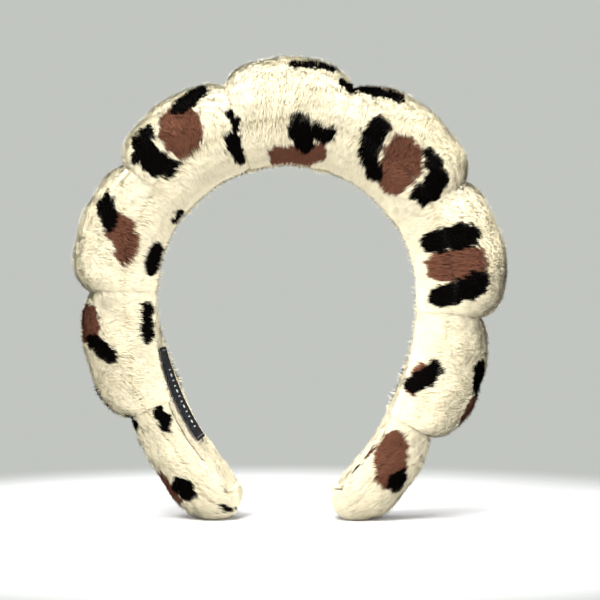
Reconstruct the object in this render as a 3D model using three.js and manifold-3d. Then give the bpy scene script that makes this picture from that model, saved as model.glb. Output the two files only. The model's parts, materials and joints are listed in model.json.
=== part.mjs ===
// A padded plush headband that stands on the tips of its two legs.
// Millimetres. X runs across, the front faces -Y, Z is up, and both tips rest on z = 0.
// A springy plastic hoop carries nine puffy lobes of padding in a plush cover. A thread ties
// the cover in at each crease between two lobes, and a lining closes it on the head's side.
import * as THREE from 'three';
import { mergeVertices } from 'three/addons/utils/BufferGeometryUtils.js';
import Module from 'manifold-3d';

// ---- The inner line: where the lining touches the head, in the plane y = 0 ----
const CROWN_RADIUS = 55.5;
const SIDE_RADIUS = 110;
const LEFT_LEG = { side: -1, turn: rad(37), straight: 28, twist: rad(15) };
const RIGHT_LEG = { side: 1, turn: rad(40), straight: 22, twist: rad(5) };
const TWIST_LENGTH = 45;            // over which a leg turns its inner face to the front
const TIP_REACH = 7.44;             // how far the tips' flat feet lie under the legs' ends

// ---- Lobes and creases, from the left tip over the crown to the right tip ----
// at: arc length along the inner line from the crown's middle. top: height off that line.
// half: half the depth, front to back. flexes: a share of the hoop's bend happens here.
const CREASES = [
  { at: -131, top: 20, half: 12.5 },
  { at: -86, top: 26, half: 14.5, flexes: true },
  { at: -49.5, top: 31, half: 16.5, flexes: true },
  { at: -15.7, top: 34, half: 18, flexes: true },
  { at: 17.2, top: 33, half: 18, flexes: true },
  { at: 55.5, top: 33, half: 16.5, flexes: true },
  { at: 94.3, top: 25, half: 14.5, flexes: true },
  { at: 139, top: 18, half: 12.5 },
];
const LOBES = [
  { name: 'left_tip', top: 24, half: 14 },
  { name: 'left_ear', top: 32.5, half: 17 },
  { name: 'left_temple', top: 37.5, half: 19 },
  { name: 'left_shoulder', top: 41.5, half: 21 },
  { name: 'crown', top: 45.5, half: 22 },
  { name: 'right_shoulder', top: 43, half: 21 },
  { name: 'right_temple', top: 39, half: 19 },
  { name: 'right_ear', top: 32.5, half: 17 },
  { name: 'right_tip', top: 24, half: 14 },
];
const CROWN_LOBE = 4;               // the lobe that the others flex away from, counted from 0

// ---- Walls, strips and clearances ----
const CLEARANCE = 0.3;              // between pieces that touch
const COVER_WALL = 3;               // plush with its pile pressed flat
const LINING = { thick: 2.4, halfAtCrown: 13.5, halfAtTip: 9.5, short: 10 };
const THREAD_RADIUS = 0.4;
const HOOP = { thick: 1.6, half: 5.5, short: 11 };
const LABEL = { thick: 0.6, half: 5, from: -152.5, to: -110 };
const TIE_INSET = 1.5;              // how far a tie pulls in under the crease's outline
const SECTION = { middle: 0.45, belly: 1.1, corner: 0.6 };  // widest height, drop, low corners
const TIE_CORNER = { low: 0.4, high: 0.9 };  // 1 is an ellipse, less is a squarer loop
const NOSE_SHARE = 0.24;            // of a tip lobe's length, over which its end rounds off
const NOSE_MIDDLE = 0.36;           // the height that it rounds towards, as a share of the top
const NOSE_END = 0.93;              // where the round nose is cut flat, 1 being a point
const FLEX_LIMIT = rad(9.5);        // the most that a crease closes, with a little to spare

const SIDES = 16;                   // around a lobe
const STATIONS = 7;                 // along a lobe
const STRIP_STEPS = 48;             // along the hoop and the lining
const LABEL_STEPS = 14;
const TIE_STEPS = 24;               // round a tie
const THREAD_SIDES = 5;
const SPACE_LANES = 8;              // across the wide cut for the hoop, so that it twists evenly
const BLOCK = 400;                  // larger than the headband
const SPACE_MARGIN = 2;             // that the cut for the hoop goes out past the widest lobe

const THREAD_HEIGHT = LINING.thick + CLEARANCE + THREAD_RADIUS;
const HOOP_FLOOR = THREAD_HEIGHT + THREAD_RADIUS + CLEARANCE;
const HOOP_MIDDLE = HOOP_FLOOR + HOOP.thick / 2;
const PADDING_FLOOR = HOOP_FLOOR + HOOP.thick + CLEARANCE;
const CREASE_GAP = THREAD_RADIUS + CLEARANCE;
const WIDEST = Math.max(...LOBES.map((lobe) => lobe.half)) + SPACE_MARGIN;
const QUARTER = CROWN_RADIUS * Math.PI / 2;
const CROWN_CENTRE_Z = (legDrop(LEFT_LEG) + legDrop(RIGHT_LEG)) / 2 + TIP_REACH;
const LEFT_END = -legEnd(LEFT_LEG);
const RIGHT_END = legEnd(RIGHT_LEG);

const wasm = await Module();
wasm.setup();

const plush = material(0xf2ecd6, 0.95);
const liningPlush = material(0xe9e2c8, 0.95);
const foam = material(0xf4efe2, 0.9);
const hoopPlastic = material(0xe6e4dc, 0.5);
const thread = material(0xded5bb, 0.8);
const woven = material(0x141416, 0.85);

function rad(degrees) {
  return degrees * Math.PI / 180;
}

function material(color, roughness) {
  return new THREE.MeshStandardMaterial({ color, roughness, metalness: 0 });
}

function legEnd(leg) {
  return QUARTER + SIDE_RADIUS * leg.turn + leg.straight;
}

// How far below the crown's centre a leg ends.
function legDrop(leg) {
  return SIDE_RADIUS * Math.sin(leg.turn) + leg.straight * Math.cos(leg.turn);
}

function mix(a, b, share) {
  return a + (b - a) * share;
}

// ---- The frame along the band ----

// Point, outward normal and +s direction of the inner line at arc length s.
function innerLine(s) {
  const leg = s < 0 ? LEFT_LEG : RIGHT_LEG;
  const length = Math.abs(s);
  const normal = new THREE.Vector3();
  const point = new THREE.Vector3(0, 0, CROWN_CENTRE_Z);
  if (length <= QUARTER) {
    const angle = length / CROWN_RADIUS;
    normal.set(leg.side * Math.sin(angle), 0, Math.cos(angle));
    point.addScaledVector(normal, CROWN_RADIUS);
  } else {
    const angle = Math.min((length - QUARTER) / SIDE_RADIUS, leg.turn);
    const beyond = length - QUARTER - SIDE_RADIUS * angle;
    normal.set(leg.side * Math.cos(angle), 0, -Math.sin(angle));
    point.x = leg.side * (CROWN_RADIUS - SIDE_RADIUS);
    point.addScaledVector(normal, SIDE_RADIUS);
    point.x -= leg.side * beyond * Math.sin(angle);
    point.z -= beyond * Math.cos(angle);
  }
  const along = new THREE.Vector3(normal.z, 0, -normal.x);
  return { point, normal, along };
}

// A leg's inner face turns towards the front below the ear.
function twistAt(s) {
  const leg = s < 0 ? LEFT_LEG : RIGHT_LEG;
  const share = THREE.MathUtils.smoothstep(Math.abs(s), QUARTER, QUARTER + TWIST_LENGTH);
  return leg.twist * share;
}

// The point at height t off the inner line and depth y. A tilt turns the section about
// the hoop, so that its top leans towards +s.
function onBand(s, t, y, tilt = 0) {
  const { point, normal, along } = innerLine(s);
  const twist = twistAt(s);
  const depth = new THREE.Vector3(0, 1, 0);
  const up = normal.clone().multiplyScalar(Math.cos(twist)).addScaledVector(depth, Math.sin(twist));
  const across = depth.multiplyScalar(Math.cos(twist)).addScaledVector(normal, -Math.sin(twist));
  const lean = up.clone().multiplyScalar(Math.cos(tilt)).addScaledVector(along, Math.sin(tilt));
  return point
    .addScaledVector(up, HOOP_MIDDLE)
    .addScaledVector(lean, t - HOOP_MIDDLE)
    .addScaledVector(across, y);
}

// ---- Solids ----

// A solid from a closed three.js geometry, with each of its points moved by place(x, y, z).
function toSolid(geometry, place = (x, y, z) => new THREE.Vector3(x, y, z)) {
  const bare = geometry.clone();
  bare.deleteAttribute('normal');
  bare.deleteAttribute('uv');
  const merged = mergeVertices(bare);
  const position = merged.getAttribute('position');
  for (let i = 0; i < position.count; i += 1) {
    const moved = place(position.getX(i), position.getY(i), position.getZ(i));
    position.setXYZ(i, moved.x, moved.y, moved.z);
  }
  const vertProperties = new Float32Array(position.array);
  const triVerts = new Uint32Array(merged.getIndex().array);
  return new wasm.Manifold(new wasm.Mesh({ numProp: 3, vertProperties, triVerts }));
}

function toGeometry(solid) {
  const mesh = solid.getMesh();
  const geometry = new THREE.BufferGeometry();
  geometry.setAttribute('position', new THREE.BufferAttribute(new Float32Array(mesh.vertProperties), 3));
  geometry.setIndex(new THREE.BufferAttribute(new Uint32Array(mesh.triVerts), 1));
  geometry.computeVertexNormals();
  return geometry;
}

// ---- The shape of a lobe ----

function signedPower(value, power) {
  return Math.sign(value) * Math.abs(value) ** power;
}

// A section is round above and flatter below. angle 0 is the -y side, and 90 degrees is up.
function outline(section, angle) {
  const middle = mix(section.floor, section.top, SECTION.middle);
  const c = Math.cos(angle);
  const s = Math.sin(angle);
  if (s >= 0) {
    return { y: -section.half * c, t: middle + (section.top - middle) * s };
  }
  const drop = (middle - section.floor) * SECTION.belly * signedPower(s, SECTION.corner);
  return {
    y: -section.half * signedPower(c, SECTION.corner),
    t: Math.max(section.floor, middle + drop),
  };
}

function tiltAt(lobe, share) {
  const index = LOBES.indexOf(lobe);
  const inner = index > CROWN_LOBE ? CREASES[index - 1] : CREASES[index];
  if (index === CROWN_LOBE || !inner.flexes) {
    return 0;
  }
  if (index > CROWN_LOBE) {
    return FLEX_LIMIT * Math.max(0, 1 - 2 * share);
  }
  return -FLEX_LIMIT * Math.max(0, 2 * share - 1);
}

// The lobe's section at turn 0 to 180 degrees from its low-s end to its high-s end, with
// its skin moved in by inset.
function lobeSection(lobe, turn, inset) {
  const index = LOBES.indexOf(lobe);
  const share = (1 - Math.cos(turn)) / 2;
  const leftTip = index === 0;
  const rightTip = index === LOBES.length - 1;
  const low = leftTip ? { at: LEFT_END, top: lobe.top, half: lobe.half } : CREASES[index - 1];
  const high = rightTip ? { at: RIGHT_END, top: lobe.top, half: lobe.half } : CREASES[index];
  const from = low.at + (leftTip ? 0 : CREASE_GAP) + inset;
  const to = high.at - (rightTip ? 0 : CREASE_GAP) - inset;
  const puff = Math.sin(turn);
  const edgeTop = mix(low.top, high.top, share);
  const edgeHalf = mix(low.half, high.half, share);
  let top = mix(edgeTop, lobe.top, puff);
  let half = mix(edgeHalf, lobe.half, puff);
  let bottom = 0;
  const toTip = leftTip ? 1 - share : share;
  if ((leftTip || rightTip) && toTip > 1 - NOSE_SHARE) {
    const reach = (toTip - 1 + NOSE_SHARE) / NOSE_SHARE * NOSE_END;
    const round = Math.sqrt(1 - reach * reach);
    const middle = top * NOSE_MIDDLE;
    bottom = middle - middle * round;
    top = middle + (top - middle) * round;
    half *= round;
  }
  return {
    s: mix(from, to, share),
    tilt: tiltAt(lobe, share),
    top: top - inset,
    half: half - inset,
    floor: bottom + inset,
  };
}

function lobeSolid(lobe, inset) {
  const tube = new THREE.CylinderGeometry(1, 1, 1, SIDES, STATIONS);
  return toSolid(tube, (x, y, z) => {
    const section = lobeSection(lobe, (y + 0.5) * Math.PI, inset);
    const reach = Math.min(1, Math.hypot(x, z));
    const edge = outline(section, Math.atan2(z, x));
    const middle = mix(section.floor, section.top, SECTION.middle);
    return onBand(section.s, mix(middle, edge.t, reach), edge.y * reach, section.tilt);
  });
}

// ---- Strips along the band: lining, hoop, label and the slot that they lie in ----

function stripSolid({ from, to, floor, top, halfAt, steps, lanes = 1 }) {
  const bar = new THREE.BoxGeometry(1, 1, 1, lanes, steps, 1);
  return toSolid(bar, (x, y, z) => {
    const s = mix(from, to, y + 0.5);
    return onBand(s, mix(floor, top, z + 0.5), -2 * x * halfAt(s));
  });
}

function liningHalf(s) {
  return mix(LINING.halfAtCrown, LINING.halfAtTip, Math.abs(s) / RIGHT_END);
}

function liningStrip() {
  return stripSolid({
    from: LEFT_END + LINING.short + CLEARANCE,
    to: RIGHT_END - LINING.short - CLEARANCE,
    floor: 0,
    top: LINING.thick,
    halfAt: liningHalf,
    steps: STRIP_STEPS,
  });
}

// The opening that the lining closes, with room for the hoop above it.
function liningSlot() {
  return stripSolid({
    from: LEFT_END + LINING.short,
    to: RIGHT_END - LINING.short,
    floor: -COVER_WALL,
    top: PADDING_FLOOR,
    halfAt: (s) => liningHalf(s) + CLEARANCE,
    steps: STRIP_STEPS,
  });
}

// What the padding leaves free for the hoop along its flat inner face.
function hoopSpace() {
  return stripSolid({
    from: LEFT_END - LINING.short,
    to: RIGHT_END + LINING.short,
    floor: -COVER_WALL,
    top: PADDING_FLOOR,
    halfAt: () => WIDEST,
    steps: STRIP_STEPS,
    lanes: SPACE_LANES,
  });
}

function hoopStrip() {
  return stripSolid({
    from: LEFT_END + HOOP.short,
    to: RIGHT_END - HOOP.short,
    floor: HOOP_FLOOR,
    top: HOOP_FLOOR + HOOP.thick,
    halfAt: () => HOOP.half,
    steps: STRIP_STEPS,
  });
}

function wovenLabel() {
  return stripSolid({
    from: LABEL.from,
    to: LABEL.to,
    floor: -CLEARANCE - LABEL.thick,
    top: -CLEARANCE,
    halfAt: () => LABEL.half,
    steps: LABEL_STEPS,
  });
}

// ---- Plush cover, padding and ties ----

const slot = liningSlot();
const space = hoopSpace();
const above = aboveTable();

// Everything above the table that the leg tips stand on.
function aboveTable() {
  const block = new THREE.BoxGeometry(BLOCK, BLOCK, BLOCK);
  block.translate(0, 0, BLOCK / 2);
  return toSolid(block);
}

function coverLobe(lobe) {
  return lobeSolid(lobe, 0).subtract(lobeSolid(lobe, COVER_WALL)).subtract(slot).intersect(above);
}

function paddingLobe(lobe) {
  return lobeSolid(lobe, COVER_WALL + CLEARANCE).subtract(space);
}

// A loop of thread round the hoop and up over the pinched padding.
function creaseTie(crease) {
  const top = crease.top - TIE_INSET;
  const middle = (top + THREAD_HEIGHT) / 2;
  const rise = (top - THREAD_HEIGHT) / 2;
  const reach = crease.half - TIE_INSET;
  const ring = new THREE.TorusGeometry(1, THREAD_RADIUS, THREAD_SIDES, TIE_STEPS);
  return toSolid(ring, (x, y, z) => {
    const angle = Math.atan2(y, x);
    const power = y < 0 ? TIE_CORNER.low : TIE_CORNER.high;
    const outward = Math.hypot(x, y) - 1;
    const depth = (reach + outward) * signedPower(Math.cos(angle), power);
    const height = middle + (rise + outward) * signedPower(Math.sin(angle), power);
    return onBand(crease.at - z, height, -depth);
  });
}

// ---- Assembly ----

const group = new THREE.Group();

function addPiece(name, solid, look) {
  const mesh = new THREE.Mesh(toGeometry(solid), look);
  mesh.name = name;
  group.add(mesh);
}

for (const lobe of LOBES) {
  addPiece(`plush_cover_${lobe.name}`, coverLobe(lobe), plush);
  addPiece(`padding_${lobe.name}`, paddingLobe(lobe), foam);
}
CREASES.forEach((crease, index) => {
  addPiece(`crease_tie_${index + 1}`, creaseTie(crease), thread);
});
addPiece('hoop_strip', hoopStrip(), hoopPlastic);
addPiece('lining_strip', liningStrip(), liningPlush);
addPiece('woven_label', wovenLabel(), woven);

// x = 0 lies midway between the two widest lobes.
const extent = new THREE.Box3().setFromObject(group);
group.position.x = -(extent.min.x + extent.max.x) / 2;

export default group;
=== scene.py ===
"""A padded plush headband with a spotted print, standing on the tips of its two legs.

Sizes are in millimetres until a point leaves on_band(), which gives metres in the part's frame.
The band is described by s, the arc length along its inner line from the crown's middle, by t,
the height off that line, and by y, the depth. Nine puffy lobes meet at eight pinched creases.
Each lobe has a plush cover, the pile that stands on it, a padding core, a length of the lining
and a length of the hoop.
"""

import json
import math

import bpy
import numpy as np
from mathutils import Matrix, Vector, kdtree


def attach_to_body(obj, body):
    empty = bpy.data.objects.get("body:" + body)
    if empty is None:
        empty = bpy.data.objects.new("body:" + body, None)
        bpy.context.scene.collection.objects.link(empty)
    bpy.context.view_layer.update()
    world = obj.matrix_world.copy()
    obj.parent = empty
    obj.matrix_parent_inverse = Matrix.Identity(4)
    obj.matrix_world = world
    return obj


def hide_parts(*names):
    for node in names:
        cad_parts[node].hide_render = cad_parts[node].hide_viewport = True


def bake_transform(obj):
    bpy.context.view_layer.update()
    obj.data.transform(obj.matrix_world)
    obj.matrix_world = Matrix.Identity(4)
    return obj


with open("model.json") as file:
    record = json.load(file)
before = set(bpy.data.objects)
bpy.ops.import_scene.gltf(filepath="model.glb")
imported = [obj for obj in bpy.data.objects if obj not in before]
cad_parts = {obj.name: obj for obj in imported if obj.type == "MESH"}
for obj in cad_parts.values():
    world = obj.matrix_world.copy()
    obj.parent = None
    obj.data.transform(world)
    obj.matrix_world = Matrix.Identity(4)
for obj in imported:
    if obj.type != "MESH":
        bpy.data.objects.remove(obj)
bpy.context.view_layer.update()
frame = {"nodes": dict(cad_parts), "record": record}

MM = 0.001
SEED = 7
LEFT, RIGHT = -1, 1

# ---- The inner line, as the CAD part has it ----
CROWN_RADIUS = 55.5
SIDE_RADIUS = 110.0
LEG_TURN = {LEFT: math.radians(37), RIGHT: math.radians(40)}
LEG_STRAIGHT = {LEFT: 28.0, RIGHT: 22.0}
LEG_TWIST = {LEFT: math.radians(15), RIGHT: math.radians(5)}
TWIST_LENGTH = 45.0
HOOP_MIDDLE = 4.6
QUARTER = CROWN_RADIUS * math.pi / 2
END = {k: QUARTER + SIDE_RADIUS * LEG_TURN[k] + LEG_STRAIGHT[k] for k in (LEFT, RIGHT)}

# ---- Creases and lobes, from the left tip over the crown to the right tip ----
CREASES = [
    dict(at=-131.0, top=20.0, half=12.5),
    dict(at=-86.0, top=26.0, half=14.5),
    dict(at=-49.5, top=31.0, half=16.5),
    dict(at=-15.7, top=34.0, half=18.0),
    dict(at=17.2, top=33.0, half=18.0),
    dict(at=55.5, top=33.0, half=16.5),
    dict(at=94.3, top=25.0, half=14.5),
    dict(at=139.0, top=18.0, half=12.5),
]
# comb: how far the pile turns from the inner edge towards the tip, in degrees.
LOBES = [
    dict(name="left_tip", top=24.0, half=14.0, rides="left_leg", comb=50),
    dict(name="left_ear", top=32.5, half=17.0, bends=("left_temple", "left_leg"), comb=15),
    dict(name="left_temple", top=37.5, half=19.0, bends=("left_shoulder", "left_temple"), comb=0),
    dict(name="left_shoulder", top=41.5, half=21.0, bends=("crown", "left_shoulder"), comb=0),
    dict(name="crown", top=45.5, half=22.0, rides="crown", comb=0),
    dict(name="right_shoulder", top=43.0, half=21.0, bends=("crown", "right_shoulder"), comb=0),
    dict(name="right_temple", top=39.0, half=19.0, bends=("right_shoulder", "right_temple"), comb=-10),
    dict(name="right_ear", top=32.5, half=17.0, bends=("right_temple", "right_leg"), comb=10),
    dict(name="right_tip", top=24.0, half=14.0, rides="right_leg", comb=55),
]
CROWN_LOBE = 4

# ---- The plush ----
PILE = 4.3               # strand length
LINING_PILE = 2.1
PILE_RISE = 2.5          # how far the combed pile stands off the skin
PINCH_RISE = 4.2         # the same at a crease
SIDE_RISE = 2.5          # the same on the front and back
MIDDLE_SHARE = 0.45      # where a section is widest, as a share of its height
SLOT_FLOOR = 2.7         # the skin's height over the lining
SLOT_FADE = 6            # over which that recess fades out past the lining's end
PINCH_NARROWING = 3.2    # how much a crease takes off the half depth
LIP_FLOOR = 0.3
NOSE_SHARE = 0.30        # of a tip lobe's length, over which its end rounds off
NOSE_MIDDLE = 0.36
NOSE_END = 0.985
LINING = dict(half_at_crown=13.5, half_at_tip=9.5, short=10.0, low=1.5, high=2.4)
HOOP = dict(low=3.8, high=5.4, half=5.5, short=11.0)
LABEL = dict(low=-0.9, high=-0.3, half=5.0, start=-152.5, end=-110.0)
PADDING_INSET = 1.8

STRANDS_ALONG = 210
STRANDS_AROUND = 264
LINING_STRANDS_ALONG = 110
LINING_STRANDS_ACROSS = 76
CLUMP_SHARE = 0.12       # of the strands lead a clump
CLUMP_PULL = 0.2
STRAY_SHARE = 0.07       # of the strands stand up out of the nap
STRAND_LEAN = math.radians(56)
LEAN_SPREAD = math.radians(2.5)
STRAY_RISE = math.radians(24)

# ---- Print: bars and patches placed on each lobe ----
# (colour, along, up, length, width, lean, bow): along runs from the lobe's low crease, 0, to its
# high one, 1, and up from the inner edge, 0, to the top, 1. Length, width and bow are in mm.
# Lean is in degrees from the outward direction, towards the right tip.
FRONT_MARKS = dict(
    left_tip=[
        ("brown", 0.42, 0.88, 17, 5, 90, 0),
        ("black", 0.36, 0.62, 13, 9, 75, 0),
        ("black", 0.94, 0.80, 7, 5, 60, 0),
        ("black", 0.88, 0.24, 12, 6, 90, 0),
        ("black", 0.04, 0.25, 5, 3.5, 90, 0),
    ],
    left_ear=[
        ("brown", 0.74, 0.84, 16, 10, 90, 0),
        ("black", 0.55, 0.70, 17, 7, 35, 0),
        ("black", 0.72, 0.10, 17, 5, 90, 0),
        ("black", 0.20, 0.96, 9, 4, 90, 0),
        ("brown", 0.04, 0.88, 10, 5, 90, 0),
    ],
    left_temple=[
        ("brown", 0.45, 0.45, 20, 10, 45, 2),
        ("black", 0.62, 0.70, 14, 7, 35, 0),
        ("black", 0.36, 0.06, 15, 6, 90, 0),
        ("black", 0.90, 0.03, 8, 3.5, 90, 0),
    ],
    left_shoulder=[
        ("brown", 0.52, 0.60, 24, 13, 10, 0),
        ("black", 0.25, 0.58, 26, 8, 0, -3),
        ("black", 0.70, 0.84, 13, 7, 60, 0),
        ("black", 0.90, 0.20, 14, 5.5, 0, 0),
        ("black", 0.97, 0.42, 14, 3, 0, 0),
    ],
    crown=[
        ("brown", 0.60, 0.08, 24, 9, 80, 2),
        ("black", 0.64, 0.26, 18, 9, -15, 0),
        ("black", 0.82, 0.27, 13, 7, 90, 0),
        ("black", 0.68, 0.89, 12, 4, 90, 0),
        ("black", 0.97, 0.76, 7, 4, 120, 0),
    ],
    right_shoulder=[
        ("brown", 0.60, 0.36, 26, 14, -15, 0),
        ("black", 0.38, 0.36, 28, 7.5, -20, -4),
        ("black", 0.82, 0.46, 23, 7.5, -25, 4),
        ("black", 0.17, 0.87, 16, 5, 70, 0),
        ("brown", 0.20, 0.96, 10, 3.5, 80, 0),
    ],
    right_temple=[
        ("brown", 0.57, 0.42, 27, 13, 5, 0),
        ("black", 0.35, 0.42, 26, 8.5, 5, 0),
        ("black", 0.79, 0.42, 27, 8.5, -15, 0),
        ("black", 0.72, 0.98, 6, 3, 90, 0),
    ],
    right_ear=[
        ("brown", 0.62, 0.11, 15, 6, 100, 0),
        ("black", 0.58, 0.20, 19, 7.5, -50, 0),
        ("black", 0.48, 0.92, 14, 7, 70, 0),
        ("brown", 0.72, 0.92, 14, 5, 100, 0),
    ],
    right_tip=[
        ("brown", 0.35, 0.38, 25, 13, 60, 0),
        ("black", 0.47, 0.68, 10, 7, 80, 0),
    ],
)
# The same along the inner face, with up replaced by the mark's place across it, in mm.
INNER_MARKS = dict(
    left_shoulder=[("brown", 0.5, -8, 14, 6, 90, 0), ("black", 0.25, -9, 8, 4, 90, 0)],
    right_temple=[("black", 0.75, -9, 9, 5, 90, 0)],
    right_ear=[("brown", 0.55, -8, 15, 5, 90, 0), ("black", 0.85, -8, 6, 4, 90, 0)],
    left_tip=[("black", 0.9, 5, 8, 6, 90, 0)],
    right_tip=[("brown", 0.4, -8, 8, 4, 90, 0), ("black", 0.6, -8, 6, 4, 90, 0)],
)
BACK_SPOTS_PER_LOBE = 2

# The root colours are painted shade: each colour darkened as if shaded deep in the pile, for the strands'
# roots.
CREAM = (0.93, 0.85, 0.62)
CREAM_ROOT_PAINTED_SHADE = (0.80, 0.69, 0.42)
BROWN = (0.165, 0.068, 0.040)
BROWN_ROOT_PAINTED_SHADE = (0.095, 0.038, 0.022)
BLACK = (0.0022, 0.0016, 0.0014)
BLACK_ROOT_PAINTED_SHADE = (0.0014, 0.001, 0.001)


# ---------------------------------------------------------------- the band's frame
def inner_line(s):
    """x and z of the inner line, from the crown's centre, and of its outward normal."""
    side = np.where(s < 0, -1.0, 1.0)
    turn = np.where(s < 0, LEG_TURN[LEFT], LEG_TURN[RIGHT])
    length = np.abs(s)
    crown = length <= QUARTER
    crown_angle = np.minimum(length, QUARTER) / CROWN_RADIUS
    leg_angle = np.clip((length - QUARTER) / SIDE_RADIUS, 0, turn)
    beyond = np.maximum(length - QUARTER - SIDE_RADIUS * leg_angle, 0)
    nx = np.where(crown, side * np.sin(crown_angle), side * np.cos(leg_angle))
    nz = np.where(crown, np.cos(crown_angle), -np.sin(leg_angle))
    radius = np.where(crown, CROWN_RADIUS, SIDE_RADIUS)
    centre = np.where(crown, 0.0, side * (CROWN_RADIUS - SIDE_RADIUS))
    x = centre + radius * nx - side * beyond * np.sin(leg_angle)
    z = radius * nz - beyond * np.cos(leg_angle)
    return x, z, nx, nz


def band_origin():
    """The crown's centre, worked out from the joint at the crease on its left."""
    joints = frame["record"]["behaviour"]["joints"]
    place = next(j["pos_m"] for j in joints if j["name"] == "left_crown_flex")
    x, z, nx, nz = inner_line(np.array([CREASES[CROWN_LOBE - 1]["at"]]))
    hinge_x = (x + nx * HOOP_MIDDLE)[0]
    hinge_z = (z + nz * HOOP_MIDDLE)[0]
    return np.array([place[0] / MM - hinge_x, 0, place[2] / MM - hinge_z])


ORIGIN = band_origin()


def smooth(value, low, high):
    share = np.clip((value - low) / (high - low), 0, 1)
    return share * share * (3 - 2 * share)


def mix(a, b, share):
    return a + (b - a) * share


def on_band(s, t, y):
    """Points in metres at arc length s, height t and depth y."""
    s, t, y = np.broadcast_arrays(*(np.asarray(v, float) for v in (s, t, y)))
    x, z, nx, nz = inner_line(s)
    twist = np.where(s < 0, LEG_TWIST[LEFT], LEG_TWIST[RIGHT])
    twist = twist * smooth(np.abs(s), QUARTER, QUARTER + TWIST_LENGTH)
    c, d = np.cos(twist), np.sin(twist)
    up = np.stack([nx * c, d, nz * c], -1)
    across = np.stack([-nx * d, c, -nz * d], -1)
    base = np.stack([x, np.zeros_like(x), z], -1) + ORIGIN
    return (base + up * t[..., None] + across * y[..., None]) * MM


def unit(v):
    return v / np.maximum(np.linalg.norm(v, axis=-1, keepdims=True), 1e-12)


def ripple(points, wavelength, seed):
    """Smooth noise of about -1 to 1 over points in metres, with the wavelength in millimetres."""
    rng = np.random.default_rng(seed)
    waves = unit(rng.normal(size=(7, 3))) * rng.uniform(0.7, 1.5, (7, 1))
    phases = rng.uniform(0, 2 * math.pi, 7)
    turns = points @ waves.T * (2 * math.pi / (wavelength * MM)) + phases
    return np.sin(turns).sum(-1) / 2.6


# ---------------------------------------------------------------- the shape of a lobe
def lobe_ends(index):
    low = CREASES[index - 1]["at"] if index > 0 else -END[LEFT] + 2.5
    high = CREASES[index]["at"] if index < len(CREASES) else END[RIGHT] - 2.5
    return low, high


def lining_reach(s):
    """How far along the band, from the crown, the lining goes on each side."""
    return np.where(s < 0, END[LEFT], END[RIGHT]) - LINING["short"]


def lining_half(s):
    return mix(LINING["half_at_crown"], LINING["half_at_tip"], np.abs(s) / END[RIGHT])


def skin_sizes(lobe):
    return lobe["top"] - PILE_RISE, lobe["half"] - SIDE_RISE


def crease_sizes(index, side):
    """Full and pinched top and half of the skin where lobe `index` ends on its low or high side."""
    other = index + side
    top, half = skin_sizes(LOBES[index])
    if other < 0 or other >= len(LOBES):
        return top, half, top, half
    other_top, other_half = skin_sizes(LOBES[other])
    crease = CREASES[min(index, other)]
    full_top, full_half = (top + other_top) / 2, (half + other_half) / 2
    return full_top, full_half, crease["top"] - PINCH_RISE, full_half - PINCH_NARROWING


def skin(index, turn, angle, inset=0.0):
    """The skin of a lobe: turn runs 0 to pi along it, and angle from the front over the top."""
    lobe = LOBES[index]
    turn, angle = np.broadcast_arrays(turn, angle)
    share = (1 - np.cos(turn)) / 2
    low, high = lobe_ends(index)
    s = mix(low, high, share)
    top, half = skin_sizes(lobe)
    edges = zip(crease_sizes(index, -1), crease_sizes(index, 1))
    full_top, full_half, pinch_top, pinch_half = (mix(a, b, share) for a, b in edges)
    swell = np.sin(turn)
    puff = swell ** 0.72
    c, d = np.cos(angle), np.sin(angle)
    pinch = np.clip(d, 0, 1) ** 1.1
    tall = mix(mix(full_top, top, swell), mix(pinch_top, top, puff), pinch)
    wide = mix(mix(full_half, half, swell), mix(pinch_half, half, puff), pinch)
    middle = mix(full_top, top, swell) * MIDDLE_SHARE
    floor = np.zeros_like(s)
    to_tip = 1 - share if index == 0 else share
    if index in (0, len(LOBES) - 1):
        reach = np.clip((to_tip - 1 + NOSE_SHARE) / NOSE_SHARE, 0, 1) * NOSE_END
        rounded = np.sqrt(1 - reach * reach)
        centre = tall * NOSE_MIDDLE
        floor = centre - centre * rounded
        tall = centre + (tall - centre) * rounded
        middle = mix(floor, tall, MIDDLE_SHARE)
        wide = wide * rounded
    tall, wide, floor = tall - inset, wide - inset, floor + inset
    upper_t = middle + (tall - middle) * np.maximum(d, 0)
    corner = np.sign(c) * np.abs(c) ** 0.6
    drop = (middle - floor) * 1.1 * np.maximum(-d, 0) ** 0.6
    y = np.where(d >= 0, -wide * c, -wide * corner)
    lower_t = np.maximum(floor + LIP_FLOOR, middle - drop)
    in_slot = 1 - smooth(np.abs(y), lining_half(s), lining_half(s) + 1.2)
    in_slot = in_slot * (1 - smooth(np.abs(s), lining_reach(s), lining_reach(s) + SLOT_FADE))
    lower_t = np.maximum(lower_t, SLOT_FLOOR * in_slot)
    t = np.where(d >= 0, upper_t, lower_t)
    rough = on_band(s, t, y)
    lump = 0.45 * ripple(rough, 19, 11) + 0.1 * ripple(rough, 8, 12)
    fade = np.clip(swell * 1.6, 0, 1) * np.clip(d * 3 + 0.6, 0, 1)
    pleat = 0.35 * np.sin(angle * 13 + 5 * ripple(rough, 30, 13)) * pinch * (1 - puff) * swell * 2.4
    grow = lump * fade + pleat
    return s, t + grow * np.abs(d), y - grow * c


def lobe_point(index, turn, angle, inset=0.0):
    return on_band(*skin(index, turn, angle, inset))


# ---------------------------------------------------------------- the print
def stroke_distance(s, t, stroke):
    """Distance outside a tapered stroke, less than 0 inside it."""
    best = np.full(s.shape, 1e9)
    for (s0, t0, r0), (s1, t1, r1) in zip(stroke, stroke[1:]):
        ds, dt = s1 - s0, t1 - t0
        along = np.clip(((s - s0) * ds + (t - t0) * dt) / (ds * ds + dt * dt), 0, 1)
        gap = np.hypot(s - s0 - along * ds, t - t0 - along * dt)
        best = np.minimum(best, gap - mix(r0, r1, along))
    return best


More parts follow.
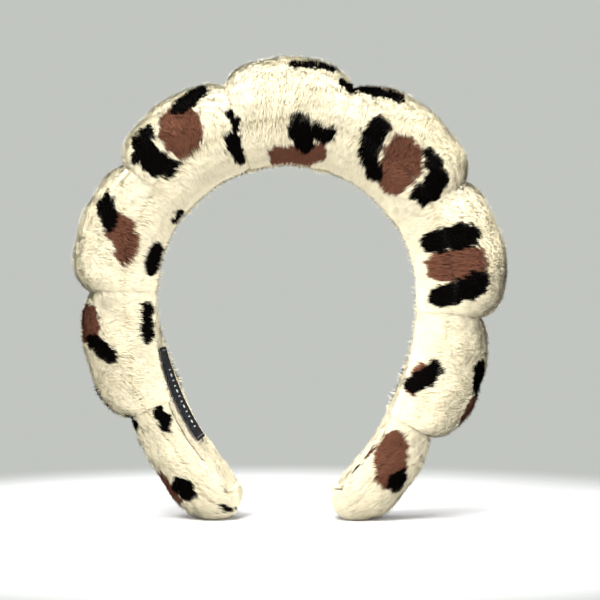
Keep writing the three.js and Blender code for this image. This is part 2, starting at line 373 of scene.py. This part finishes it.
def mark_stroke(middle_s, middle_t, length, width, lean, bow):
    """A bar or patch as a stroke along a shallow arc, narrower at its ends."""
    lean = math.radians(lean)
    points = []
    for share in (-0.5, -0.2, 0.2, 0.5):
        run = share * (length - width)
        side = bow * (1 - 4 * share * share)
        s = middle_s + run * math.sin(lean) + side * math.cos(lean)
        t = middle_t + run * math.cos(lean) - side * math.sin(lean)
        points.append((s, t, width / 2 * (1 - 0.6 * share * share)))
    return points


def placed_marks(marks, whole_height):
    """The strokes of marks given by lobe, at a share of its top or at a place across in mm."""
    strokes = []
    for index, lobe in enumerate(LOBES):
        low, high = lobe_ends(index)
        height = lobe["top"] if whole_height else 1.0
        for colour, along, up, length, width, lean, bow in marks.get(lobe["name"], []):
            stroke = mark_stroke(mix(low, high, along), up * height, length, width, lean, bow)
            strokes.append((colour, stroke))
    return strokes


def back_print():
    """Spots for the side that faces away: a seeded brown patch with a black bar beside it."""
    rng = np.random.default_rng(SEED)
    strokes = []
    for index, lobe in enumerate(LOBES):
        low, high = lobe_ends(index)
        for k in range(BACK_SPOTS_PER_LOBE):
            s = mix(low, high, k * 0.5 + rng.uniform(0.15, 0.3))
            t = lobe["top"] * (rng.uniform(0.1, 0.25) + 0.4 * ((k + index) % 2))
            lean, length = rng.uniform(-0.6, 0.6), rng.uniform(8, 13)
            ds, dt = math.sin(lean) * length, math.cos(lean) * length
            width = rng.uniform(3.2, 4.2)
            patch = [(s + 5, t + 2, width), (s + 5 + ds, t + dt, width + 1)]
            stripe = [(s, t, width * 0.6), (s - 1, t + dt / 2, width), (s + ds, t + dt, 2)]
            strokes.append(("brown", patch))
            strokes.append(("black", stripe))
    return strokes


FRONT_PRINT = placed_marks(FRONT_MARKS, True)
INNER_PRINT = placed_marks(INNER_MARKS, False)
BACK_PRINT = back_print()


def printed(points, s, t, y, inner=False):
    """Brown and black masks, 0 to 1, for points of the fabric."""
    wobble = 0.5 * ripple(points, 5.5, 21) + 0.4 * ripple(points, 2.6, 22)
    masks = dict(brown=np.zeros(s.shape), black=np.zeros(s.shape))
    regions = [(FRONT_PRINT, t, y < 0), (BACK_PRINT, t, y >= 0)]
    if inner:
        regions = [(INNER_PRINT, y, np.full(s.shape, True))]
    for strokes, height, where in regions:
        for colour, stroke in strokes:
            gap = stroke_distance(s, height, stroke) + wobble
            mask = (1 - smooth(gap, -0.25, 0.35)) * where
            masks[colour] = np.maximum(masks[colour], mask)
    return masks["brown"], masks["black"]


# ---------------------------------------------------------------- meshes
def new_mesh(name, points, faces, material, values=None, smooth_shade=True):
    """values holds the point attributes that the material reads."""
    mesh = bpy.data.meshes.new(name)
    mesh.from_pydata(points.reshape(-1, 3).tolist(), [], faces)
    mesh.update()
    if smooth_shade:
        mesh.polygons.foreach_set("use_smooth", [True] * len(mesh.polygons))
    for key, data in (values or {}).items():
        layer = mesh.attributes.new(key, "FLOAT", "POINT")
        layer.data.foreach_set("value", np.asarray(data, np.float32).ravel())
    mesh.materials.append(material)
    obj = bpy.data.objects.new(name, mesh)
    bpy.context.collection.objects.link(obj)
    return obj


def tube_faces(rows, columns):
    """Quads of a closed tube of rows rings, with a cap on each end, facing out."""
    faces = []
    for i in range(rows - 1):
        for j in range(columns):
            k = (j + 1) % columns
            faces.append((i * columns + j, (i + 1) * columns + j, (i + 1) * columns + k, i * columns + k))
    faces.append(tuple(range(columns)))
    faces.append(tuple(range(rows * columns - 1, (rows - 1) * columns - 1, -1)))
    return faces


def bar(name, material, start, end, half_at, low, high, steps=24, rim=0.25, values=None):
    """A strip along the band with rounded edges."""
    s = np.linspace(start, end, steps)[:, None]
    half = half_at(s) if callable(half_at) else np.full_like(s, half_at)
    corner = np.linspace(0, 2 * math.pi, 21)[:-1]
    wave_y = np.sign(np.cos(corner)) * np.abs(np.cos(corner)) ** rim
    wave_t = np.sign(np.sin(corner)) * np.abs(np.sin(corner)) ** rim
    end_fade = np.ones_like(s)
    end_fade[0] = end_fade[-1] = 0.97
    t = (low + high) / 2 + (high - low) / 2 * wave_t * end_fade
    points = on_band(s, t, half * wave_y * end_fade)
    return new_mesh(name, points, tube_faces(steps, 20), material, values)


# ---------------------------------------------------------------- materials
def new_material(name, roughness, sheen=0.0, tint=(1, 1, 1), specular=0.3):
    material = bpy.data.materials.new(name)
    material.use_nodes = True
    nodes, links = material.node_tree.nodes, material.node_tree.links
    shader = nodes["Principled BSDF"]
    shader.inputs["Roughness"].default_value = roughness
    shader.inputs["Sheen Weight"].default_value = sheen
    shader.inputs["Sheen Roughness"].default_value = 0.6
    shader.inputs["Sheen Tint"].default_value = (*tint, 1)
    shader.inputs["Specular IOR Level"].default_value = specular
    return material, nodes, links, shader


def attribute(nodes, name):
    node = nodes.new("ShaderNodeAttribute")
    node.attribute_name = name
    return node.outputs["Fac"]


def blend_colour(nodes, links, factor, low, high):
    """A colour mix: low and high are colours or sockets."""
    node = nodes.new("ShaderNodeMix")
    node.data_type = "RGBA"
    links.new(factor, node.inputs[0])
    for socket, value in ((node.inputs[6], low), (node.inputs[7], high)):
        if isinstance(value, tuple):
            socket.default_value = (*value, 1)
        else:
            links.new(value, socket)
    return node.outputs[2]


def noise(nodes, links, scale, detail=3.0, vector=None):
    node = nodes.new("ShaderNodeTexNoise")
    node.inputs["Scale"].default_value = scale
    node.inputs["Detail"].default_value = detail
    if vector is None:
        vector = nodes.new("ShaderNodeTexCoord").outputs["Object"]
    links.new(vector, node.inputs["Vector"])
    return node.outputs["Fac"]


def bump(nodes, links, height, shader, strength, distance):
    node = nodes.new("ShaderNodeBump")
    node.inputs["Strength"].default_value = strength
    node.inputs["Distance"].default_value = distance
    links.new(height, node.inputs["Height"])
    links.new(node.outputs["Normal"], shader.inputs["Normal"])


def same_from_both_sides(nodes, links):
    """The strand's own normal on its back too, so that light glows through as in real pile."""
    geometry = nodes.new("ShaderNodeNewGeometry")
    sign = nodes.new("ShaderNodeMapRange")
    sign.inputs["To Min"].default_value = 1
    sign.inputs["To Max"].default_value = -1
    links.new(geometry.outputs["Backfacing"], sign.inputs["Value"])
    turned = nodes.new("ShaderNodeVectorMath")
    turned.operation = "SCALE"
    links.new(geometry.outputs["Normal"], turned.inputs[0])
    links.new(sign.outputs["Result"], turned.inputs["Scale"])
    return turned.outputs["Vector"]


def plush_material():
    """Pile strands: print by attribute, painted shade towards the root, each clump a tone of its own."""
    material, nodes, links, shader = new_material("plush_pile", 0.9, specular=0.02)
    # Painted shade: each strand darkens from its tip down to its root, as if shaded by the pile around
    # it.
    height = attribute(nodes, "height")
    root_shade_ramp = nodes.new("ShaderNodeMapRange")
    links.new(height, root_shade_ramp.inputs["Value"])
    root_shade_ramp.inputs["From Max"].default_value = 0.8
    light = root_shade_ramp.outputs["Result"]
    cream = blend_colour(nodes, links, light, CREAM_ROOT_PAINTED_SHADE, CREAM)
    brown = blend_colour(nodes, links, light, BROWN_ROOT_PAINTED_SHADE, BROWN)
    black = blend_colour(nodes, links, light, BLACK_ROOT_PAINTED_SHADE, BLACK)
    colour = blend_colour(nodes, links, attribute(nodes, "brown"), cream, brown)
    colour = blend_colour(nodes, links, attribute(nodes, "black"), colour, black)
    vary = nodes.new("ShaderNodeHueSaturation")
    links.new(colour, vary.inputs["Color"])
    links.new(attribute(nodes, "shade"), vary.inputs["Value"])
    links.new(vary.outputs["Color"], shader.inputs["Base Color"])
    links.new(same_from_both_sides(nodes, links), shader.inputs["Normal"])
    return material


def ground_material():
    """The knitted ground that the pile grows from."""
    material, nodes, links, shader = new_material("plush_ground", 0.9, sheen=0.2)
    # Painted shade: the cream is mixed by noise with the pile's shaded root colour, and the brown print
    # takes the shaded root brown.
    cream = blend_colour(nodes, links, noise(nodes, links, 700), CREAM_ROOT_PAINTED_SHADE, CREAM)
    colour = blend_colour(nodes, links, attribute(nodes, "brown"), cream, BROWN_ROOT_PAINTED_SHADE)
    colour = blend_colour(nodes, links, attribute(nodes, "black"), colour, BLACK)
    links.new(colour, shader.inputs["Base Color"])
    bump(nodes, links, noise(nodes, links, 1800, 5), shader, 0.6, 0.0006)
    return material


def knit_material(name, low, high, roughness, pitch, sheen=0.3):
    """A fine cloth with crossing ribs at the given pitch in metres."""
    material, nodes, links, shader = new_material(name, roughness, sheen=sheen, specular=0.2)
    place = nodes.new("ShaderNodeTexCoord").outputs["Object"]
    ribs = []
    for direction in ("X", "Z"):
        wave = nodes.new("ShaderNodeTexWave")
        wave.bands_direction = direction
        wave.inputs["Scale"].default_value = 1 / (pitch * 20)
        wave.inputs["Distortion"].default_value = 1.2
        wave.inputs["Detail Scale"].default_value = 3.0
        links.new(place, wave.inputs["Vector"])
        ribs.append(wave.outputs["Fac"])
    cross = nodes.new("ShaderNodeMath")
    cross.operation = "MULTIPLY"
    links.new(ribs[0], cross.inputs[0])
    links.new(ribs[1], cross.inputs[1])
    colour = blend_colour(nodes, links, cross.outputs[0], low, high)
    links.new(colour, shader.inputs["Base Color"])
    bump(nodes, links, cross.outputs[0], shader, 0.5, pitch * 0.4)
    return material


def foam_material():
    material, nodes, links, shader = new_material("padding_foam", 0.85)
    cells = nodes.new("ShaderNodeTexVoronoi")
    cells.inputs["Scale"].default_value = 900
    links.new(nodes.new("ShaderNodeTexCoord").outputs["Object"], cells.inputs["Vector"])
    colour = blend_colour(nodes, links, cells.outputs["Distance"], (0.52, 0.49, 0.42), (0.86, 0.84, 0.78))
    links.new(colour, shader.inputs["Base Color"])
    bump(nodes, links, cells.outputs["Distance"], shader, 0.8, 0.0008)
    return material


def plastic_material():
    material, nodes, links, shader = new_material("hoop_plastic", 0.35, specular=0.5)
    grain = noise(nodes, links, 250)
    colour = blend_colour(nodes, links, grain, (0.70, 0.69, 0.65), (0.80, 0.79, 0.75))
    links.new(colour, shader.inputs["Base Color"])
    bump(nodes, links, noise(nodes, links, 2500), shader, 0.1, 0.0002)
    return material


def thread_material(name, low, high):
    """A plied thread: fine slanting bands."""
    material, nodes, links, shader = new_material(name, 0.6, sheen=0.3)
    wave = nodes.new("ShaderNodeTexWave")
    wave.bands_direction = "DIAGONAL"
    wave.inputs["Scale"].default_value = 160
    links.new(nodes.new("ShaderNodeTexCoord").outputs["Object"], wave.inputs["Vector"])
    colour = blend_colour(nodes, links, wave.outputs["Fac"], low, high)
    links.new(colour, shader.inputs["Base Color"])
    bump(nodes, links, wave.outputs["Fac"], shader, 0.6, 0.0002)
    return material


# ---------------------------------------------------------------- the pieces of a lobe
def make_cover(index, material):
    rows, columns = 33, 80
    turn = np.linspace(0.0, math.pi, rows)[:, None]
    angle = np.linspace(0, 2 * math.pi, columns + 1)[None, :-1]
    s, t, y = skin(index, turn, angle)
    points = on_band(s, t, y)
    brown, black = printed(points, s, t, y)
    points[..., 2] = np.maximum(points[..., 2], 0.4 * MM)
    name = f"cover_{LOBES[index]['name']}"
    return new_mesh(name, points, tube_faces(rows, columns), material, dict(brown=brown, black=black))


def make_padding(index, material):
    rows, columns = 21, 40
    turn = np.linspace(0.18, math.pi - 0.18, rows)[:, None]
    angle = np.linspace(0, 2 * math.pi, columns + 1)[None, :-1]
    s, t, y = skin(index, turn, angle, PADDING_INSET)
    points = on_band(s, np.maximum(t, HOOP["high"] + 0.3), y)
    return new_mesh(f"filling_{LOBES[index]['name']}", points, tube_faces(rows, columns), material)


def make_strand_mesh(name, material, strands, cells):
    """One mesh of all the strands: each is a quad and a triangle that tapers to its tip."""
    root, mid, tip, normal, width, values = strands
    count = len(root)
    path = tip - root
    rng = np.random.default_rng(SEED + count)
    across = unit(np.cross(path, normal))
    third = unit(np.cross(unit(path), across))
    roll = rng.uniform(-0.9, 0.9, (count, 1))
    across = across * np.cos(roll) + third * np.sin(roll)
    side = across * (width[:, None] / 2)
    points = np.stack([root - side, root + side, mid - side * 0.85, mid + side * 0.85, tip], 1)
    points[..., 2] = np.maximum(points[..., 2], 0.15 * MM)
    base = np.arange(count, dtype=np.int32)[:, None] * 5
    loops = np.concatenate([base + [0, 1, 3, 2], base + [2, 3, 4]], 1).ravel()
    mesh = bpy.data.meshes.new(name)
    mesh.vertices.add(count * 5)
    mesh.vertices.foreach_set("co", points.astype(np.float32).ravel())
    mesh.loops.add(len(loops))
    mesh.loops.foreach_set("vertex_index", loops)
    mesh.polygons.add(count * 2)
    starts = (np.arange(count, dtype=np.int32)[:, None] * 7 + [0, 4]).ravel()
    mesh.polygons.foreach_set("loop_start", starts)
    mesh.update(calc_edges=True)
    mesh.polygons.foreach_set("use_smooth", np.ones(count * 2, bool))
    uv = mesh.uv_layers.new(name="OFBake")
    rows, columns, cell_row, cell_column = cells
    left, right = (cell_column + 0.12) / columns, (cell_column + 0.88) / columns
    low, high = (cell_row + 0.08) / rows, (cell_row + 0.92) / rows
    half_way, centre = (low + high) / 2, (left + right) / 2
    u = np.stack([left, right, right, left, left, right, centre], 1)
    v = np.stack([low, low, half_way, half_way, half_way, half_way, high], 1)
    uv.data.foreach_set("uv", np.stack([u, v], -1).astype(np.float32).ravel())
    heights = np.tile([0.0, 0.0, 0.55, 0.55, 1.0], count)
    for key, data in dict(values, height=None).items():
        layer = mesh.attributes.new(key, "FLOAT", "POINT")
        data = heights if data is None else np.repeat(data, 5)
        layer.data.foreach_set("value", data.astype(np.float32))
    shading = unit(normal + 0.3 * unit(path))
    mesh.normals_split_custom_set_from_vertices(np.repeat(shading, 5, axis=0).tolist())
    mesh.materials.append(material)
    obj = bpy.data.objects.new(name, mesh)
    bpy.context.collection.objects.link(obj)
    return obj


def gather(root, tip, rng):
    """Pulls the tips of neighbouring strands together into soft clumps. Gives tip and clump."""
    leaders = np.flatnonzero(rng.random(len(root)) < CLUMP_SHARE)
    tree = kdtree.KDTree(len(leaders))
    for k, leader in enumerate(leaders):
        tree.insert(root[leader], k)
    tree.balance()
    clump = np.array([tree.find(p)[1] for p in root.tolist()])
    target = tip[leaders][clump]
    pull = CLUMP_PULL * rng.uniform(0.6, 1.15, (len(root), 1))
    return mix(tip, target, np.clip(pull, 0, 0.9)), clump


def seen_place(s, t, shift):
    """s and t of the middle of a strand, from its root's place and its shift along the band."""
    _, _, nx, nz = inner_line(s)
    up = np.stack([nx, np.zeros_like(nx), nz], -1)
    onward = np.stack([nz, np.zeros_like(nx), -nx], -1)
    return s + (shift * onward).sum(-1) / MM, t + (shift * up).sum(-1) / MM


def cover_strands(index, rng):
    """Strands over the skin of a lobe, with their cell in the grid."""
    lobe = LOBES[index]
    rows, columns = STRANDS_ALONG, STRANDS_AROUND
    row, column = (g.ravel() for g in np.meshgrid(np.arange(rows), np.arange(columns), indexing="ij"))
    turn = (row + rng.random(row.size)) / rows * math.pi
    angle = (column + rng.random(row.size)) / columns * 2 * math.pi
    s, t, y = skin(index, turn, angle)
    over_lining = (np.abs(y) < lining_half(s) + 0.4) & (np.abs(s) < lining_reach(s) + 0.4)
    keep = ~((np.sin(angle) < 0) & over_lining & (t < SLOT_FLOOR + 1))
    row, column, turn, angle, s, t, y = (v[keep] for v in (row, column, turn, angle, s, t, y))
    root = on_band(s, t, y)
    step = 0.012
    round_about = unit(lobe_point(index, turn, angle + step) - lobe_point(index, turn, angle - step))
    low, high = np.clip(turn - step, 0, math.pi), np.clip(turn + step, 0, math.pi)
    onward = lobe_point(index, high, angle) - lobe_point(index, low, angle)
    normal = unit(np.cross(unit(onward), round_about))
    centre = on_band(s, mix(0, lobe["top"], 0.4), 0 * s)
    normal *= np.sign(((root - centre) * normal).sum(-1, keepdims=True))
    to_tip = unit(onward) * (-1 if index < CROWN_LOBE else 1)
    swirl = math.radians(14) * ripple(root, 24, 31) + math.radians(9) * ripple(root, 8, 32)
    turned = math.radians(lobe["comb"]) + swirl + rng.normal(0, 0.16, len(root))
    comb = -round_about * np.cos(turned)[:, None] + to_tip * np.sin(turned)[:, None]
    lean = STRAND_LEAN + LEAN_SPREAD * ripple(root, 6, 33) + rng.normal(0, 0.08, len(root))
    lean = lean - STRAY_RISE * (rng.random(len(root)) < STRAY_SHARE)
    pinch = np.sin(turn)
    at_tip = smooth(np.abs(s), 150, 186)
    length = PILE * (0.6 + 0.4 * np.clip(pinch * 1.5, 0, 1)) * (1 + 0.3 * at_tip)
    length = length * rng.uniform(0.78, 1.15, len(root)) * (1 - 0.25 * (np.sin(angle) < -0.3))
    reach = (length * MM)[:, None]
    tip = root + reach * (normal * np.cos(lean)[:, None] + comb * np.sin(lean)[:, None])
    tip, clump = gather(root, tip, rng)
    mid = root + reach * 0.5 * (normal * 0.82 + comb * 0.5) + (tip - root) * 0.06
    seen = mix(root, tip, 0.5)
    s_seen, t_seen = seen_place(s, t, seen - root)
    brown, black = printed(seen, s_seen, t_seen, y)
    tone = np.random.default_rng(SEED + index).normal(1.0, 0.045, clump.max() + 1)[clump]
    tone = tone + rng.normal(0, 0.03, len(root)) + 0.02 * ripple(root, 14, 34)
    width = MM * rng.uniform(0.20, 0.30, len(root))
    values = dict(brown=brown, black=black, shade=tone)
    return [root, mid, tip, normal, width, values], row, column


def lining_strands(index, rng):
    """The short pile of the lining, left out under the label."""
    low, high = lobe_ends(index)
    low, high = max(low, -END[LEFT] + LINING["short"]), min(high, END[RIGHT] - LINING["short"])
    rows, columns = LINING_STRANDS_ALONG, LINING_STRANDS_ACROSS
    row, column = (g.ravel() for g in np.meshgrid(np.arange(rows), np.arange(columns), indexing="ij"))
    s = mix(low, high, (row + rng.random(row.size)) / rows)
    y = lining_half(s) * (2 * (column + rng.random(row.size)) / columns - 1)
    under = (s > LABEL["start"] - 1) & (s < LABEL["end"] + 1) & (np.abs(y) < LABEL["half"] + 0.5)
    row, column, s, y = (v[~under] for v in (row, column, s, y))
    t = np.full_like(s, LINING["low"] + 0.1)
    root = on_band(s, t, y)
    normal = unit(on_band(s, t - 1, y) - root)
    onward = unit(on_band(s + 1, t, y) - root) * (-1 if index < CROWN_LOBE else 1)
    across = np.cross(normal, onward)
    swirl = 0.7 * ripple(root, 14, 41) + rng.normal(0, 0.3, len(s))
    comb = onward * np.cos(swirl)[:, None] + across * np.sin(swirl)[:, None]
    length = (LINING_PILE * rng.uniform(0.75, 1.15, len(s)) * MM)[:, None]
    tip = root + length * (normal * 0.5 + comb * 0.85)
    tip, clump = gather(root, tip, rng)
    mid = root + length * 0.5 * (normal * 0.85 + comb * 0.5)
    brown, black = printed(mix(root, tip, 0.5), s, t, y, inner=True)
    tone = 1 + 0.03 * rng.normal(size=clump.max() + 1)[clump] + rng.normal(0, 0.02, len(s))
    width = MM * rng.uniform(0.26, 0.38, len(s))
    return [root, mid, tip, normal, width, dict(brown=brown, black=black, shade=tone)], row, column


def make_pile(index, material):
    rng = np.random.default_rng(SEED * 100 + index)
    over, row, column = cover_strands(index, rng)
    under, low_row, low_column = lining_strands(index, rng)
    strands = [np.concatenate([a, b]) for a, b in zip(over[:5], under[:5])]
    values = {key: np.concatenate([over[5][key], under[5][key]]) for key in over[5]}
    columns = STRANDS_AROUND + LINING_STRANDS_ACROSS
    cells = (STRANDS_ALONG, columns, np.concatenate([row, low_row]),
             np.concatenate([column, low_column + STRANDS_AROUND]))
    return make_strand_mesh(f"pile_{LOBES[index]['name']}", material, strands + [values], cells)


def attach(obj, index):
    lobe = LOBES[index]
    if "rides" in lobe:
        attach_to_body(obj, lobe["rides"])
        return
    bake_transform(obj)


def make_lobe(index, looks):
    name = LOBES[index]["name"]
    low, high = lobe_ends(index)
    cover = make_cover(index, looks["ground"])
    pile = make_pile(index, looks["pile"])
    filling = make_padding(index, looks["foam"])
    strip_low = max(low, -END[LEFT] + LINING["short"]) + 0.15
    strip_high = min(high, END[RIGHT] - LINING["short"]) - 0.15
    lining = bar(f"lining_{name}", looks["knit"], strip_low, strip_high, lining_half,
                 LINING["low"], LINING["high"], rim=0.2)
    hoop_low = max(low, -END[LEFT] + HOOP["short"]) + 0.05
    hoop_high = min(high, END[RIGHT] - HOOP["short"]) - 0.05
    hoop = bar(f"hoop_{name}", looks["plastic"], hoop_low, hoop_high, HOOP["half"],
               HOOP["low"], HOOP["high"], rim=0.3)
    plain = f"plush_cover_{name}"
    for obj, slot, node in (
        (cover, "plush", plain),
        (pile, "plush", plain),
        (filling, "padding", f"padding_{name}"),
        (lining, "lining", "lining_strip"),
        (hoop, "hoop_plastic", "hoop_strip"),
    ):
        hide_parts(node)
        attach(obj, index)


# ---------------------------------------------------------------- the woven label
def make_label(looks):
    """A black woven tape with a plain row of bars and diamonds, and its end stitches."""
    tape = bar("label_tape", looks["tape"], LABEL["start"], LABEL["end"], LABEL["half"],
               LABEL["low"], LABEL["high"], steps=60, rim=0.16)
    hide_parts("woven_label")
    marks = make_marks(looks["mark"])
    stitches = make_stitches(looks["stitch"])
    for obj in (tape, marks, stitches):
        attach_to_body(obj, "left_leg")


def raised_shape(points, faces, outline_s, outline_y, low, rise):
    """Adds a flat prism that stands on the label's outer face."""
    count = len(outline_s)
    first = len(points)
    for t in (low, low - rise):
        points.extend(on_band(outline_s, t, outline_y).tolist())
    faces.append(tuple(first + k for k in range(count)))
    faces.append(tuple(first + count + k for k in range(count - 1, -1, -1)))
    for k in range(count):
        j = (k + 1) % count
        faces.append((first + j, first + k, first + count + k, first + count + j))


def make_marks(material):
    pitch, rise = 2.4, 0.12
    points, faces = [], []
    places = np.arange(LABEL["start"] + 6, LABEL["end"] - 9, pitch)
    for k, s in enumerate(places):
        if k % 3 == 1:
            corners = np.array([(-0.85, 0), (0, 1.1), (0.85, 0), (0, -1.1)])
        else:
            corners = np.array([(-0.25, -1.0), (-0.25, 1.0), (0.25, 1.0), (0.25, -1.0)])
        raised_shape(points, faces, s + corners[:, 0], corners[:, 1], LABEL["low"], rise)
    return new_mesh("label_marks", np.array(points), faces, material, smooth_shade=False)


def make_stitches(material):
    points, faces = [], []
    for s in (LABEL["start"] + 1.3, LABEL["end"] - 1.3):
        for y in np.linspace(-4.2, 4.2, 7):
            ring = np.linspace(0, 2 * math.pi, 11)[:-1]
            along, across = s + 0.22 * np.cos(ring), y + 0.52 * np.sin(ring)
            raised_shape(points, faces, along, across, LABEL["low"], 0.18)
    return new_mesh("label_stitches", np.array(points), faces, material, smooth_shade=False)


# ---------------------------------------------------------------- floor, light and camera
FLOOR_RADIUS = 0.26
FLOOR_SOLID = 0.11
FLOOR_SIDES = 96
FLOOR_RINGS = 12
CAMERA_PLACE = (0.0038, -0.75, 0.093)
LENS = 106


def make_floor():
    """A pale round floor whose rim fades into the background."""
    material, nodes, links, shader = new_material("floor_paint", 0.6, specular=0.2)
    shader.inputs["Base Color"].default_value = (0.66, 0.66, 0.66, 1)
    place = nodes.new("ShaderNodeTexCoord").outputs["Object"]
    length = nodes.new("ShaderNodeVectorMath")
    length.operation = "LENGTH"
    links.new(place, length.inputs[0])
    fade = nodes.new("ShaderNodeMapRange")
    fade.interpolation_type = "SMOOTHSTEP"
    fade.inputs["From Min"].default_value = FLOOR_SOLID
    fade.inputs["From Max"].default_value = FLOOR_RADIUS
    fade.inputs["To Min"].default_value = 1
    fade.inputs["To Max"].default_value = 0
    links.new(length.outputs["Value"], fade.inputs["Value"])
    links.new(fade.outputs["Result"], shader.inputs["Alpha"])
    sides = FLOOR_SIDES
    ring = np.linspace(0, 2 * math.pi, sides + 1)[:-1]
    radii = np.linspace(FLOOR_RADIUS, 0.01, FLOOR_RINGS)
    points = [(r * math.cos(a), r * math.sin(a), 0) for r in radii for a in ring]
    faces = []
    for i in range(len(radii) - 1):
        inner, outer = (i + 1) * sides, i * sides
        for j in range(sides):
            k = (j + 1) % sides
            faces.append((outer + j, outer + k, inner + k, inner + j))
    faces.append(tuple((len(radii) - 1) * sides + j for j in range(sides)))
    floor = new_mesh("floor", np.array(points), faces, material)


def area_light(name, place, aim, power, size):
    data = bpy.data.lights.new(name, "AREA")
    data.energy = power
    data.shape = "DISK"
    data.size = size
    obj = bpy.data.objects.new(name, data)
    obj.location = place
    obj.rotation_euler = (Vector(aim) - Vector(place)).to_track_quat("-Z", "Y").to_euler()
    bpy.context.collection.objects.link(obj)


def make_world(seen, lit):
    """Grey behind the object, and an even light that is set apart from it."""
    world = bpy.data.worlds.new("studio")
    bpy.context.scene.world = world
    world.use_nodes = True
    nodes, links = world.node_tree.nodes, world.node_tree.links
    backdrop = nodes["Background"]
    backdrop.inputs["Color"].default_value = (*seen, 1)
    ambient = nodes.new("ShaderNodeBackground")
    ambient.inputs["Color"].default_value = (*lit, 1)
    chooser = nodes.new("ShaderNodeMixShader")
    links.new(nodes.new("ShaderNodeLightPath").outputs["Is Camera Ray"], chooser.inputs[0])
    links.new(ambient.outputs[0], chooser.inputs[1])
    links.new(backdrop.outputs[0], chooser.inputs[2])
    links.new(chooser.outputs[0], nodes["World Output"].inputs["Surface"])


def make_studio():
    make_world(seen=(0.54, 0.56, 0.53), lit=(0.30, 0.30, 0.31))
    area_light("key", (-0.25, -0.50, 0.70), (0, 0, 0.12), 11.5, 0.4)
    area_light("top", (0.0, -0.05, 0.85), (0, 0, 0.12), 11, 0.5)
    area_light("left", (-0.65, -0.30, 0.30), (0, 0, 0.10), 3, 0.4)
    area_light("right", (0.65, -0.30, 0.30), (0, 0, 0.10), 4, 0.4)
    data = bpy.data.cameras.new("camera")
    data.sensor_width = 36
    data.lens = LENS
    camera = bpy.data.objects.new("camera", data)
    camera.location = CAMERA_PLACE
    camera.rotation_euler = (math.pi / 2, 0, 0)
    bpy.context.collection.objects.link(camera)
    bpy.context.scene.camera = camera
    bpy.context.scene.view_settings.view_transform = "Standard"


# ---------------------------------------------------------------- assembly
looks = dict(
    pile=plush_material(),
    ground=ground_material(),
    foam=foam_material(),
    knit=knit_material("lining_knit", (0.62, 0.55, 0.42), (0.84, 0.78, 0.65), 0.85, 0.0006),
    plastic=plastic_material(),
    tie=thread_material("tie_thread", (0.62, 0.56, 0.42), (0.86, 0.81, 0.68)),
    tape=knit_material(
        "label_tape_weave", (0.004, 0.004, 0.006), (0.014, 0.014, 0.017), 0.7, 0.0004, sheen=0.0
    ),
    mark=thread_material("label_mark_thread", (0.20, 0.24, 0.22), (0.38, 0.44, 0.41)),
    stitch=thread_material("label_stitch_thread", (0.01, 0.01, 0.012), (0.05, 0.05, 0.055)),
)
for lobe_index in range(len(LOBES)):
    make_lobe(lobe_index, looks)
make_label(looks)
for crease_number in range(1, len(CREASES) + 1):
    tie = frame["nodes"][f"crease_tie_{crease_number}"]
    tie.data.materials.clear()
    tie.data.materials.append(looks["tie"])
make_floor()
make_studio()
